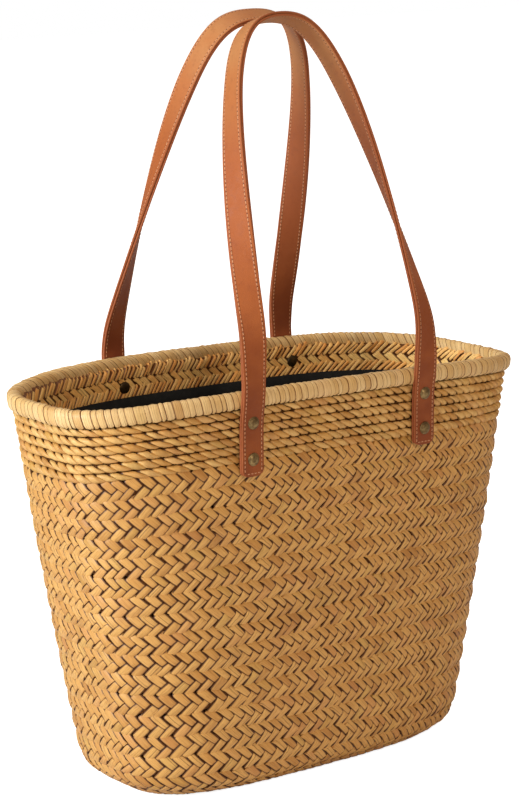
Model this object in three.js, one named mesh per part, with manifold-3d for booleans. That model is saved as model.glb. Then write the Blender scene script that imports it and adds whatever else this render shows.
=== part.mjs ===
// A straw tote bag: plaited straw wall and base, a band of twisted straw rope, a whipped rim,
// a fabric lining, and two riveted leather handles that fold outwards over the rim.
// Millimetres. +X runs along the bag's width, +Y through its depth from front to back, +Z up.
// The origin is the middle of the flat base, on the ground.
import * as THREE from 'three';
import { mergeVertices } from 'three/addons/utils/BufferGeometryUtils.js';
import Module from 'manifold-3d';

const wasm = await Module();
wasm.setup();

// Body: outer sizes of the mouth and of the base, both measured where the side walls would meet them
const bagWidth = 434;
const bagDepth = 177;
const rimHeight = 314;
const baseWidth = 316;
const baseDepth = 158;
const bottomCornerRadius = 26;
const wallBow = 2.1;
const mouthSquareness = 3.5;
const baseSquareness = 3.2;
const rimEndDrop = 9;
const rimEndDropPower = 3;

// Plait, rope and rim
const plaitRows = 16;
const plaitThickness = 5;
const plaitBulge = 0.7;
const baseEdgeLength = 19;
const baseThickness = 5;
const ropeRows = 6;
const ropePitch = 6.8;
const ropeThickness = 5.2;
const ropeRounding = 1.1;
const facingRows = 3;
const facingPitch = 15;
const facingThickness = 4;
const rimRollDiameter = 13.6;
const rimRollProud = 3.1;
const rimWrapThickness = 2.2;
const rimWrapOpeningDeg = 70;

// Lining
const liningThickness = 1.2;
const liningTopBelowRim = 31;

// Handles
const handleSpacing = 166;
const strapWidth = 20;
const strapFaceThickness = 2;
const strapBackingThickness = 1.8;
const strapCornerRadius = 6;
const tabEndBelowRivet = 13;
const handleHeight = 265;
const frontBendHeight = 38;
const backBendHeight = 22;
const handleBendRadius = 80;
const handleTopGap = 0.5;
const frontShoulder = 3;
const backShoulder = 3.6;
const handleRise = 1.2;
const twistPower = 1.3;
const hingeAboveRim = 2;

// Rivets
const upperRivetBelowRim = 22;
const rivetSpacing = 27.5;
const rivetCapRadius = 5;
const rivetCapHeight = 2.4;
const rivetPostRadius = 1.5;
const backCapRadius = 4.5;
const backCapThickness = 1.8;

// Clearances
const seatGap = 0.3;
const liningGap = 0.6;
const hingeGap = 0.4;
const holeClearance = 0.3;

// Facets
const ringSteps = 32;
const archSteps = 13;
const rivetSides = 10;
const rimArcSteps = 5;

// Worked-out heights and thicknesses
const ropeTop = rimHeight - rimRollDiameter + seatGap;
const ropeBottom = ropeTop - ropeRows * ropePitch;
const cornerArc = bottomCornerRadius * Math.PI / 2;
const plaitTop = ropeBottom - seatGap;
const plaitLength = cornerArc + plaitTop - bottomCornerRadius - baseEdgeLength;
const plaitPitch = plaitLength / plaitRows;
const facingOuterDepth = ropeThickness + seatGap;
const facingInnerDepth = facingOuterDepth + facingThickness;
const liningDepth = facingInnerDepth + liningGap;
const strapThickness = strapFaceThickness + strapBackingThickness + seatGap;
const upperRivetHeight = rimHeight - upperRivetBelowRim;
const lowerRivetHeight = upperRivetHeight - rivetSpacing;
const hingeHeight = rimHeight + hingeAboveRim;
const handleX = handleSpacing / 2;

function mix(from, to, t) {
  return from + (to - from) * t;
}

// Half width, half depth and squareness of the wall's outer face at a height
function wallAt(z) {
  const t = z / rimHeight;
  const bow = wallBow * Math.sin(Math.PI * Math.min(Math.max(t, 0), 1));
  return {
    a: mix(baseWidth / 2, bagWidth / 2 - rimRollProud, t) + bow,
    b: mix(baseDepth / 2, bagDepth / 2 - rimRollProud, t) + bow,
    n: mix(baseSquareness, mouthSquareness, t),
  };
}

// The rim and the rows under it sink towards the two ends of the bag
function endDrop(x, z) {
  return rimEndDrop * (z / rimHeight) * Math.abs(2 * x / bagWidth) ** rimEndDropPower;
}

function rounded(value, power) {
  return Math.abs(value) < 1e-9 ? 0 : Math.sign(value) * Math.abs(value) ** power;
}

// A point of the wall at an angle round the bag; offset is outwards from the wall's outer face
function ringPoint(angle, z, offset) {
  const { a, b, n } = wallAt(z);
  const x = (a + offset) * rounded(Math.cos(angle), 2 / n);
  const y = (b + offset) * rounded(Math.sin(angle), 2 / n);
  return [x, y, z - endDrop(x, z)];
}

// Depth of the wall (half, from the middle) at a given x and height
function wallY(x, z, offset) {
  const { a, b, n } = wallAt(z);
  return (b + offset) * (1 - Math.abs(x / (a + offset)) ** n) ** (1 / n);
}

// The wall's section, followed from the edge of the flat base (s = 0) round the bottom corner
// and up the wall; depth is measured inwards, square to the outer face
function sectionPoint(s, depth) {
  const r = bottomCornerRadius;
  if (s < 0) return [s - r, depth];
  if (s < cornerArc) {
    const turn = s / r;
    return [(r - depth) * Math.sin(turn) - r, r - (r - depth) * Math.cos(turn)];
  }
  return [-depth, r + s - cornerArc];
}

// Six times the signed volume of a triangle mesh
function signedVolume(points, triangles) {
  let sum = 0;
  for (const [i, j, k] of triangles) {
    const a = new THREE.Vector3(...points[i]);
    const b = new THREE.Vector3(...points[j]);
    const c = new THREE.Vector3(...points[k]);
    sum += a.dot(b.cross(c));
  }
  return sum;
}

// A closed geometry from points and triangles, turned so that its faces point outwards
function closedGeometry(points, triangles) {
  const flip = signedVolume(points, triangles) < 0;
  const index = triangles.flatMap(([i, j, k]) => (flip ? [i, k, j] : [i, j, k]));
  const geometry = new THREE.BufferGeometry();
  geometry.setAttribute('position', new THREE.Float32BufferAttribute(points.flat(), 3));
  geometry.setIndex(index);
  return geometry;
}

// A ring round the bag from a closed section of [offset, height] points
function ringGeometry(section) {
  const points = [];
  const triangles = [];
  const count = section.length;
  for (let i = 0; i < ringSteps; i += 1) {
    const angle = i * 2 * Math.PI / ringSteps;
    for (const [offset, z] of section) points.push(ringPoint(angle, z, offset));
    const here = i * count;
    const next = (i + 1) % ringSteps * count;
    for (let j = 0; j < count; j += 1) {
      const k = (j + 1) % count;
      triangles.push([here + j, next + j, next + k], [here + j, next + k, here + k]);
    }
  }
  return closedGeometry(points, triangles);
}

// A dish whose section starts and ends on the bag's upright middle line
function dishGeometry(section, bottomHeight, topHeight) {
  const points = [[0, 0, bottomHeight], [0, 0, topHeight]];
  const triangles = [];
  const count = section.length;
  for (let i = 0; i < ringSteps; i += 1) {
    const angle = i * 2 * Math.PI / ringSteps;
    for (const [offset, z] of section) points.push(ringPoint(angle, z, offset));
    const here = 2 + i * count;
    const next = 2 + (i + 1) % ringSteps * count;
    triangles.push([0, next, here], [1, here + count - 1, next + count - 1]);
    for (let j = 0; j < count - 1; j += 1) {
      triangles.push([here + j, next + j, next + j + 1], [here + j, next + j + 1, here + j + 1]);
    }
  }
  return closedGeometry(points, triangles);
}

// Solids for cutting: only the position is kept and shared vertices are merged
function solidOf(geometry) {
  const clean = geometry.clone();
  clean.deleteAttribute('normal');
  clean.deleteAttribute('uv');
  const merged = mergeVertices(clean);
  return new wasm.Manifold(new wasm.Mesh({
    numProp: 3,
    vertProperties: new Float32Array(merged.attributes.position.array),
    triVerts: new Uint32Array(merged.index.array),
  }));
}

function geometryOf(solid) {
  const mesh = solid.getMesh();
  const geometry = new THREE.BufferGeometry();
  geometry.setAttribute('position', new THREE.Float32BufferAttribute(mesh.vertProperties, 3));
  geometry.setIndex(Array.from(mesh.triVerts));
  return geometry;
}

function cutAway(geometry, cutters) {
  let solid = solidOf(geometry);
  for (const cutter of cutters) solid = solid.subtract(solidOf(cutter));
  return geometryOf(solid);
}

// Rivet places: side is -1 on the front wall and +1 on the back wall
const rivets = [];
for (const side of [-1, 1]) {
  for (const end of [-1, 1]) {
    for (const level of ['upper', 'lower']) {
      const z = level === 'upper' ? upperRivetHeight : lowerRivetHeight;
      const wall = side === -1 ? 'front' : 'back';
      const hand = end === -1 ? 'left' : 'right';
      const edgeX = handleX - strapWidth / 2;
      rivets.push({ side, x: end * handleX, z, wallY: wallY(edgeX, z, 0), name: `${wall}_${hand}_${level}` });
    }
  }
}

// Turns a shape made along +Z so that +Z points outwards through the wall, and moves it to a rivet
function placeOnWall(geometry, rivet, offset) {
  geometry.rotateX(-rivet.side * Math.PI / 2);
  geometry.translate(rivet.x, rivet.side * (rivet.wallY + offset), rivet.z);
  return geometry;
}

// A round bar along Y at a rivet, between two offsets from the wall's outer face
function barAtRivet(rivet, radius, innerOffset, outerOffset) {
  const length = outerOffset - innerOffset;
  const bar = new THREE.CylinderGeometry(radius, radius, length, rivetSides);
  bar.rotateX(Math.PI / 2);
  return placeOnWall(bar, rivet, (innerOffset + outerOffset) / 2);
}

const backCapOffset = -facingInnerDepth;
const pocketFloorOffset = backCapOffset + backCapThickness + seatGap;
const cutterReach = 20;

function rivetHoles(geometry, withPocket) {
  geometry.computeBoundingBox();
  const box = geometry.boundingBox;
  const cutters = [];
  for (const rivet of rivets) {
    const reach = backCapRadius + holeClearance;
    if (rivet.z + reach < box.min.z || rivet.z - reach > box.max.z) continue;
    cutters.push(barAtRivet(rivet, rivetPostRadius + holeClearance, -cutterReach, cutterReach));
    if (withPocket) cutters.push(barAtRivet(rivet, reach, -cutterReach, pocketFloorOffset));
  }
  return cutters.length > 0 ? cutAway(geometry, cutters) : geometry;
}

const strawColour = 0xcfa566;
const strawDarkColour = 0xb98d50;
const rimColour = 0xdcbd84;
const leatherColour = 0xb3683a;
const leatherBackColour = 0x8c4a2a;
const brassColour = 0x86795a;
const liningColour = 0x161513;

const bag = new THREE.Group();

function addPiece(name, geometry, color, roughness, metalness) {
  const flat = geometry.toNonIndexed();
  flat.computeVertexNormals();
  const material = new THREE.MeshStandardMaterial({ color, roughness, metalness });
  const mesh = new THREE.Mesh(flat, material);
  mesh.name = name;
  bag.add(mesh);
}

// Base: one flat panel of plait whose edge turns up into the bottom corner
function makeBase() {
  const edge = baseEdgeLength - seatGap / 2;
  const stops = [0, edge / 2, edge];
  const outer = stops.map((s) => sectionPoint(s, 0));
  const inner = stops.map((s) => sectionPoint(s, baseThickness)).reverse();
  addPiece('base_panel', dishGeometry([...outer, ...inner], 0, baseThickness), strawDarkColour, 0.85, 0);
}

// Wall: rows of plait laid edge to edge, each a closed ring with a bulged outer face
function makePlaitRows() {
  for (let row = 0; row < plaitRows; row += 1) {
    const low = baseEdgeLength + row * plaitPitch + seatGap / 2;
    const high = low + plaitPitch - seatGap;
    const section = [
      sectionPoint(low, plaitBulge),
      sectionPoint((low + high) / 2, 0),
      sectionPoint(high, plaitBulge),
      sectionPoint(high, plaitThickness),
      sectionPoint(low, plaitThickness),
    ];
    const name = `plait_row_${String(row + 1).padStart(2, '0')}`;
    addPiece(name, rivetHoles(ringGeometry(section), false), strawColour, 0.85, 0);
  }
}

// Rope band under the rim: twisted straw ropes laid one on another
function makeRopeRows() {
  for (let row = 0; row < ropeRows; row += 1) {
    const low = ropeBottom + row * ropePitch + seatGap / 2;
    const high = low + ropePitch - seatGap;
    const middle = (low + high) / 2;
    const section = [
      [-ropeRounding, low],
      [0, middle],
      [-ropeRounding, high],
      [ropeRounding - ropeThickness, high],
      [-ropeThickness, middle],
      [ropeRounding - ropeThickness, low],
    ];
    addPiece(`rope_row_${row + 1}`, rivetHoles(ringGeometry(section), false), strawColour, 0.85, 0);
  }
}

// Facing: plait rows that line the rope band on the inside, from the rim downwards
function makeFacingRows() {
  for (let row = 0; row < facingRows; row += 1) {
    const low = ropeTop - (facingRows - row) * facingPitch + seatGap / 2;
    const high = low + facingPitch - seatGap;
    const section = [
      [-facingOuterDepth, low],
      [-facingOuterDepth, high],
      [-facingInnerDepth, high],
      [-facingInnerDepth, low],
    ];
    addPiece(`facing_row_${row + 1}`, rivetHoles(ringGeometry(section), true), strawDarkColour, 0.85, 0);
  }
}

// Rim: a straw core, and the straw wound over it, open below where it is sewn to the wall
function makeRim() {
  const radius = rimRollDiameter / 2;
  const middle = rimRollProud - radius;
  const height = rimHeight - radius;
  const start = THREE.MathUtils.degToRad(rimWrapOpeningDeg / 2 - 90);
  const sweep = THREE.MathUtils.degToRad(360 - rimWrapOpeningDeg);
  const outer = [];
  const inner = [];
  for (let i = 0; i <= rimArcSteps; i += 1) {
    const angle = start + sweep * i / rimArcSteps;
    const innerRadius = radius - rimWrapThickness;
    outer.push([middle + radius * Math.cos(angle), height + radius * Math.sin(angle)]);
    inner.push([middle + innerRadius * Math.cos(angle), height + innerRadius * Math.sin(angle)]);
  }
  addPiece('rim_wrap', ringGeometry([...outer, ...inner.reverse()]), rimColour, 0.8, 0);
  const coreRadius = (radius - rimWrapThickness) * Math.cos(sweep / rimArcSteps / 2) - seatGap;
  const core = [];
  for (let i = 0; i < 6; i += 1) {
    const angle = i * Math.PI / 3;
    core.push([middle + coreRadius * Math.cos(angle), height + coreRadius * Math.sin(angle)]);
  }
  addPiece('rim_core', ringGeometry(core), strawDarkColour, 0.9, 0);
}

// Lining: a loose fabric bag, open at the top, whose hem is sewn to the facing
function makeLining() {
  const bottom = baseThickness + liningGap;
  const top = rimHeight - liningTopBelowRim;
  const across = bottomCornerRadius - liningDepth;
  const up = bottomCornerRadius - bottom;
  function shell(inset) {
    const shape = [];
    for (const turn of [0, Math.PI / 4, Math.PI / 2]) {
      const offset = (across - inset) * Math.sin(turn) - bottomCornerRadius;
      shape.push([offset, bottomCornerRadius - (up - inset) * Math.cos(turn)]);
    }
    for (const share of [0.5, 1]) shape.push([-liningDepth - inset, mix(bottomCornerRadius, top, share)]);
    return shape;
  }
  const section = [...shell(0), ...shell(liningThickness).reverse()];
  addPiece('lining', dishGeometry(section, bottom, bottom + liningThickness), liningColour, 0.95, 0);
}

// A strap layer between two distances from the strap's middle, along its outward normal.
// Each station has a point, a width direction, a normal and a half width. The diagonals of facing
// sides match, so that twisted layers stay apart.
function strapGeometry(stations, near, far) {
  const points = [];
  const triangles = [];
  for (const { point, across, normal, half } of stations) {
    for (const [w, d] of [[-half, near], [half, near], [half, far], [-half, far]]) {
      points.push(point.clone().addScaledVector(across, w).addScaledVector(normal, d).toArray());
    }
  }
  const last = 4 * (stations.length - 1);
  triangles.push([0, 1, 2], [0, 2, 3], [last, last + 2, last + 1], [last, last + 3, last + 2]);
  for (let i = 0; i < last; i += 4) {
    for (const [j, k] of [[0, 1], [1, 2]]) {
      triangles.push([i + j, i + 4 + j, i + 4 + k], [i + j, i + 4 + k, i + k]);
    }
    for (const [j, k] of [[2, 3], [3, 0]]) {
      triangles.push([i + j, i + 4 + j, i + k], [i + k, i + 4 + j, i + 4 + k]);
    }
  }
  return closedGeometry(points, triangles);
}

// Two leather layers, stitched back to back
function addStrap(name, stations, withHoles) {
  const half = strapThickness / 2;
  const layers = [
    ['face', half - strapFaceThickness, half, leatherColour],
    ['backing', -half, strapBackingThickness - half, leatherBackColour],
  ];
  for (const [layer, near, far, colour] of layers) {
    const geometry = strapGeometry(stations, near, far);
    addPiece(`${name}_${layer}`, withHoles ? rivetHoles(geometry, false) : geometry, colour, 0.5, 0);
  }
}

// Distance of the strap's middle from the bag's middle plane, at rivets and over the rim
const strapEdgeX = handleX - strapWidth / 2;
const rimMiddleHeight = rimHeight - rimRollDiameter / 2;
const strapOverRimY = wallY(strapEdgeX, rimMiddleHeight, rimRollProud) + seatGap + strapThickness / 2;

function strapOnWallY(z) {
  return wallY(strapEdgeX, z, 0) + seatGap + strapThickness / 2;
}

// Tab: the end of a strap, riveted flat on the rope band, then bent out over the rim
function tabStations(side, end) {
  const rivetSeat = rivetCapRadius + 1;
  const bottom = lowerRivetHeight - tabEndBelowRivet;
  const top = hingeHeight - hingeGap / 2;
  const path = [];
  for (const turn of [0, 0.25, 0.5, 1]) {
    const angle = turn * Math.PI / 2;
    const rise = strapCornerRadius * (1 - Math.cos(angle));
    const narrowing = strapCornerRadius * (1 - Math.sin(angle));
    path.push([strapOnWallY(bottom + rise), bottom + rise, strapWidth / 2 - narrowing]);
  }
  const seatTop = upperRivetHeight + rivetSeat;
  const shoulder = mix(seatTop, rimMiddleHeight, 0.5);
  path.push([strapOnWallY(upperRivetHeight - rivetSeat), upperRivetHeight - rivetSeat, strapWidth / 2]);
  path.push([strapOnWallY(seatTop), seatTop, strapWidth / 2]);
  path.push([mix(strapOnWallY(seatTop), strapOverRimY, 0.55), shoulder, strapWidth / 2]);
  path.push([strapOverRimY, rimMiddleHeight, strapWidth / 2]);
  path.push([strapOverRimY, top, strapWidth / 2]);
  return path.map(([y, z, half], i) => {
    const before = path[Math.max(i - 1, 0)];
    const after = path[Math.min(i + 1, path.length - 1)];
    const flatEnd = i === path.length - 1;
    const run = new THREE.Vector2(flatEnd ? 0 : after[0] - before[0], after[1] - before[1]).normalize();
    return {
      point: new THREE.Vector3(end * handleX, side * y, z),
      across: new THREE.Vector3(1, 0, 0),
      normal: new THREE.Vector3(0, side * run.y, -run.x),
      half,
    };
  });
}

// Loop: upright beside the rim, a bend, then an arch in a plane that leans over the bag.
// The strap turns a quarter turn about itself between the rim and the shoulder of the arch.
const topHeight = rimHeight + handleHeight;

// Where one handle bends, and how far it leans so that the two handles meet over the bag
function handleLean(side) {
  const bendHeight = rimHeight + (side === -1 ? frontBendHeight : backBendHeight);
  const rise = topHeight - bendHeight;
  const guess = Math.atan((strapOverRimY - strapWidth / 2) / rise);
  const reach = strapWidth / 2 * Math.cos(guess) + strapThickness / 2 * Math.sin(guess);
  const lean = Math.atan((strapOverRimY - reach - handleTopGap / 2) / rise);
  return { bendHeight, lean, arcStart: bendHeight - handleBendRadius * Math.tan(lean / 2) };
}

// The loop's middle line seen from the end of the bag: depth and lean at a height
function sideView(z, { bendHeight, lean, arcStart }) {
  if (z <= arcStart) return { y: strapOverRimY, angle: 0 };
  if (z < arcStart + handleBendRadius * Math.sin(lean)) {
    const angle = Math.asin((z - arcStart) / handleBendRadius);
    return { y: strapOverRimY - handleBendRadius * (1 - Math.cos(angle)), angle };
  }
  return { y: strapOverRimY - (z - bendHeight) * Math.tan(lean), angle: lean };
}

function loopStations(side) {
  const half = [];
  const bottom = hingeHeight + hingeGap / 2;
  const shape = handleLean(side);
  const archStart = Math.max(shape.arcStart, bottom + 1);
  const shoulder = side === -1 ? frontShoulder : backShoulder;
  for (const share of [0, 0.5]) half.push([handleX, mix(bottom, archStart, share)]);
  for (let i = 0; i <= archSteps; i += 1) {
    const angle = i / archSteps * Math.PI / 2;
    const climb = rounded(Math.sin(angle), 2 / handleRise);
    half.push([handleX * rounded(Math.cos(angle), 2 / shoulder), mix(archStart, topHeight, climb)]);
  }
  const right = half.map(([x, z]) => ({ x, z }));
  const left = half.slice(0, -1).reverse().map(([x, z]) => ({ x: -x, z }));
  const path = [...right, ...left];
  const twistStart = bottom + (archStart - bottom) / 4;
  const twistEnd = mix(shape.bendHeight, topHeight, 0.81);
  const points = path.map(({ x, z }) => new THREE.Vector3(x, side * sideView(z, shape).y, z));
  return points.map((point, i) => {
    const before = points[Math.max(i - 1, 0)];
    const after = points[Math.min(i + 1, points.length - 1)];
    const atEnd = i === 0 || i === points.length - 1;
    const { angle } = sideView(point.z, shape);
    const planeNormal = new THREE.Vector3(0, side * Math.cos(angle), Math.sin(angle));
    const along = after.clone().sub(before);
    if (atEnd) along.set(0, 0, i === 0 ? 1 : -1);
    along.addScaledVector(planeNormal, -along.dot(planeNormal)).normalize();
    const outward = new THREE.Vector3().crossVectors(along, planeNormal).multiplyScalar(-side);
    const progress = THREE.MathUtils.clamp((point.z - twistStart) / (twistEnd - twistStart), 0, 1);
    const turn = Math.PI / 2 * (1 - (1 - progress) ** twistPower);
    const normal = planeNormal.clone().multiplyScalar(Math.cos(turn));
    normal.addScaledVector(outward, Math.sin(turn));
    const across = new THREE.Vector3().crossVectors(along, normal);
    return { point, across, normal, half: strapWidth / 2 };
  });
}

function makeHandles() {
  for (const [name, side] of [['front', -1], ['back', 1]]) {
    addStrap(`${name}_handle`, loopStations(side), false);
    addStrap(`${name}_left_tab`, tabStations(side, -1), true);
    addStrap(`${name}_right_tab`, tabStations(side, 1), true);
  }
}

// Rivets: a domed cap with its post through the strap, rope and facing, and a back cap inside
function makeRivets() {
  const underCap = strapThickness + 2 * seatGap;
  const postLength = underCap - pocketFloorOffset;
  const domeShoulder = 0.45;
  for (const rivet of rivets) {
    const cap = new THREE.LatheGeometry([
      new THREE.Vector2(0, -postLength),
      new THREE.Vector2(rivetPostRadius, -postLength),
      new THREE.Vector2(rivetPostRadius, 0),
      new THREE.Vector2(rivetCapRadius, 0),
      new THREE.Vector2(rivetCapRadius, rivetCapHeight * domeShoulder),
      new THREE.Vector2(rivetCapRadius * 0.6, rivetCapHeight * 0.88),
      new THREE.Vector2(0, rivetCapHeight),
    ], rivetSides);
    cap.rotateX(Math.PI / 2);
    addPiece(`rivet_${rivet.name}`, weldedLathe(placeOnWall(cap, rivet, underCap)), brassColour, 0.4, 0.9);
    const back = new THREE.LatheGeometry([
      new THREE.Vector2(0, 0),
      new THREE.Vector2(backCapRadius * 0.65, 0),
      new THREE.Vector2(backCapRadius, backCapThickness * 0.5),
      new THREE.Vector2(backCapRadius, backCapThickness),
      new THREE.Vector2(0, backCapThickness),
    ], rivetSides);
    back.rotateX(Math.PI / 2);
    addPiece(`back_cap_${rivet.name}`, weldedLathe(placeOnWall(back, rivet, backCapOffset)), brassColour, 0.45, 0.9);
  }
}

// A lathe shape passed through a solid, which closes its seam and its poles
function weldedLathe(geometry) {
  return geometryOf(solidOf(geometry));
}

makeBase();
makePlaitRows();
makeRopeRows();
makeFacingRows();
makeRim();
makeLining();
makeHandles();
makeRivets();

export default bag;
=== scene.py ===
# A straw tote bag: plaited straw wall and base, a band of twisted straw rope, a wound rim,
# a black fabric lining, and two riveted leather handles that fold outwards over the rim.
# Metres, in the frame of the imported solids: +X along the width, +Y from front to back, +Z up.
import math

import bmesh
import bpy
import numpy as np
from mathutils import Matrix, Vector


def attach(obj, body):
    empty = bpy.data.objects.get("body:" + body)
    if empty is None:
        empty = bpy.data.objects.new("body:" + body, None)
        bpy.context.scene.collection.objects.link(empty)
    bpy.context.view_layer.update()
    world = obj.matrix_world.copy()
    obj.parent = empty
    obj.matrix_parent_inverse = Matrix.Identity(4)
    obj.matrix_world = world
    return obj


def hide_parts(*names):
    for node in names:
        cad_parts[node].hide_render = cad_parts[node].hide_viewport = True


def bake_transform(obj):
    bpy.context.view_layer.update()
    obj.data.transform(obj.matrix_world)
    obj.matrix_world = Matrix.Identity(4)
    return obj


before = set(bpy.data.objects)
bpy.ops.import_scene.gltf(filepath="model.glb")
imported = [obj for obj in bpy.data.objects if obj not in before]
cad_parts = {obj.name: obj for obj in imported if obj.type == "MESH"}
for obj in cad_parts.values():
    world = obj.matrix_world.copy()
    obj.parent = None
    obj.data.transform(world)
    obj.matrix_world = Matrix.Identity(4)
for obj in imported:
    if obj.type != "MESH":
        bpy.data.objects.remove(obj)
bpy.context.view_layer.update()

draw = np.random.default_rng(41)
MM = 0.001
TURN = 2 * math.pi

# Body
BAG_WIDTH = 434 * MM
BAG_DEPTH = 177 * MM
RIM_HEIGHT = 314 * MM
BASE_WIDTH = 316 * MM
BASE_DEPTH = 158 * MM
CORNER_RADIUS = 26 * MM
WALL_BOW = 2.1 * MM
MOUTH_SQUARENESS = 3.5
BASE_SQUARENESS = 3.2
END_DROP = 9 * MM
END_DROP_POWER = 3
RIM_TILT = 4.6 * MM
LEFT_SAG = 4.2 * MM
SAG_START = 0.7
SAG_SPAN = 0.3

# Plait, rope and rim
PLAIT_ROWS = 16
BASE_EDGE = 19 * MM
ROPE_ROWS = 6
ROPE_PITCH = 6.8 * MM
FACING_PITCH = 15 * MM
FACING_DEPTH = 9.5 * MM
RIM_ROLL = 13.6 * MM
RIM_THICKNESS = 10 * MM
RIM_PROUD = 3.1 * MM
SEAT_GAP = 0.3 * MM
ROW_TAPER = 0.09

# Handles
HANDLE_X = 83 * MM
STRAP_WIDTH = 20 * MM
STRAP_THICKNESS = 4.1 * MM
HANDLE_HEIGHT = 265 * MM
FRONT_BEND = 38 * MM
BACK_BEND = 22 * MM
BEND_RADIUS = 80 * MM
HINGE_HEIGHT = 316 * MM
UPPER_RIVET = 292 * MM
LOWER_RIVET = 264.5 * MM
STRAP_END = LOWER_RIVET - 13 * MM
STITCH_PITCH = 3.2 * MM
STITCH_INSET = 2.3 * MM
STITCH_REACH = STRAP_WIDTH / 2 - STITCH_INSET

ROPE_TOP = RIM_HEIGHT - RIM_ROLL + SEAT_GAP
ROPE_BOTTOM = ROPE_TOP - ROPE_ROWS * ROPE_PITCH
CORNER_ARC = CORNER_RADIUS * math.pi / 2
PLAIT_TOP = CORNER_ARC + ROPE_BOTTOM - SEAT_GAP - CORNER_RADIUS
PLAIT_PITCH = (PLAIT_TOP - BASE_EDGE) / PLAIT_ROWS
RIM_MIDDLE = RIM_HEIGHT - RIM_ROLL / 2


# Shader arithmetic

def operation(kind, turned=False):
    """A method of Signal that makes a math node; turned puts the signal itself last"""
    def method(self, *others):
        values = (*others, self) if turned else (self, *others)
        return self.finish.signal("ShaderNodeMath", dict(enumerate(values)), operation=kind)
    return method


class Signal:
    """A shader socket that takes part in plain arithmetic, on either side of a number"""

    def __init__(self, finish, socket):
        self.finish = finish
        self.socket = socket

    __add__ = __radd__ = operation("ADD")
    __sub__ = operation("SUBTRACT")
    __rsub__ = operation("SUBTRACT", turned=True)
    __mul__ = __rmul__ = operation("MULTIPLY")
    sine = operation("SINE")
    size = operation("ABSOLUTE")
    part = operation("FRACT")
    above = operation("GREATER_THAN")
    larger = operation("MAXIMUM")

    def ramp(self, low, high, to_low=0, to_high=1):
        """Goes smoothly from to_low to to_high as the signal goes from low to high"""
        limits = {"From Min": low, "From Max": high, "To Min": to_low, "To Max": to_high}
        return self.finish.signal(
            "ShaderNodeMapRange", {"Value": self, **limits}, interpolation_type="SMOOTHSTEP")


class Finish:
    """One procedural material, or the world's light"""

    def __init__(self, name, kind="materials"):
        self.owner = getattr(bpy.data, kind).new(name)
        self.owner.use_nodes = True
        self.tree = self.owner.node_tree
        self.tree.nodes.clear()

    def node(self, kind, sockets=None, **settings):
        made = self.tree.nodes.new(kind)
        for key, value in settings.items():
            setattr(made, key, value)
        for key, value in (sockets or {}).items():
            if isinstance(value, Signal):
                self.tree.links.new(value.socket, made.inputs[key])
            else:
                made.inputs[key].default_value = value
        return made

    def signal(self, kind, sockets=None, output=0, **settings):
        return Signal(self, self.node(kind, sockets, **settings).outputs[output])

    def parts(self, vector):
        made = self.node("ShaderNodeSeparateXYZ", {0: vector})
        return [Signal(self, made.outputs[i]) for i in range(3)]

    def vector(self, x, y, z):
        return self.signal("ShaderNodeCombineXYZ", {0: x, 1: y, 2: z})

    def attribute(self, name):
        return self.parts(self.signal("ShaderNodeAttribute", output=1, attribute_name=name))

    def place(self):
        return self.signal("ShaderNodeTexCoord", output=3)

    def noise(self, scale, detail=2, roughness=0.5, vector=None):
        """Noise over the object's own space, unless another vector is given"""
        return self.signal(
            "ShaderNodeTexNoise",
            {"Vector": vector or self.place(), "Scale": scale, "Detail": detail, "Roughness": roughness})

    def mix(self, share, first, second):
        return self.signal("ShaderNodeMix", {0: share, 6: first, 7: second}, 2, data_type="RGBA")

    def layers(self, colour, *covers):
        """Lays covers, each a share and a colour, over a colour one after another"""
        for share, cover in covers:
            colour = self.mix(share, colour, cover)
        return colour

    def surface(self, colour, roughness, bump=None, **more):
        """Ends the material; bump is a height, a strength and a distance"""
        sockets = {"Base Color": colour, "Roughness": roughness}
        sockets.update({key.replace("_", " "): value for key, value in more.items()})
        if bump:
            named = dict(zip(("Height", "Strength", "Distance"), bump))
            sockets["Normal"] = self.signal("ShaderNodeBump", named)
        self.node("ShaderNodeOutputMaterial", {0: self.signal("ShaderNodeBsdfPrincipled", sockets)})
        return self.owner


def tone(red, green, blue):
    """A colour given as a photograph shows it, 0 to 255, turned into the linear colour that shaders take"""
    def linear(value):
        value /= 255
        return value / 12.92 if value <= 0.04045 else ((value + 0.055) / 1.055) ** 2.4
    return (linear(red), linear(green), linear(blue), 1)


# Finishes

REDDISH = tone(190, 120, 76)
GREENISH = tone(176, 142, 62)
# Painted sheen: a paler leather tone laid near the top of each loop, where the lamp's reflection falls
PAINTED_SHEEN = tone(188, 128, 76)
# Painted shade in the needle holes between stitches
NEEDLE_HOLE_SHADE = tone(60, 26, 14)
THREAD_RATE = 5200


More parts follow.
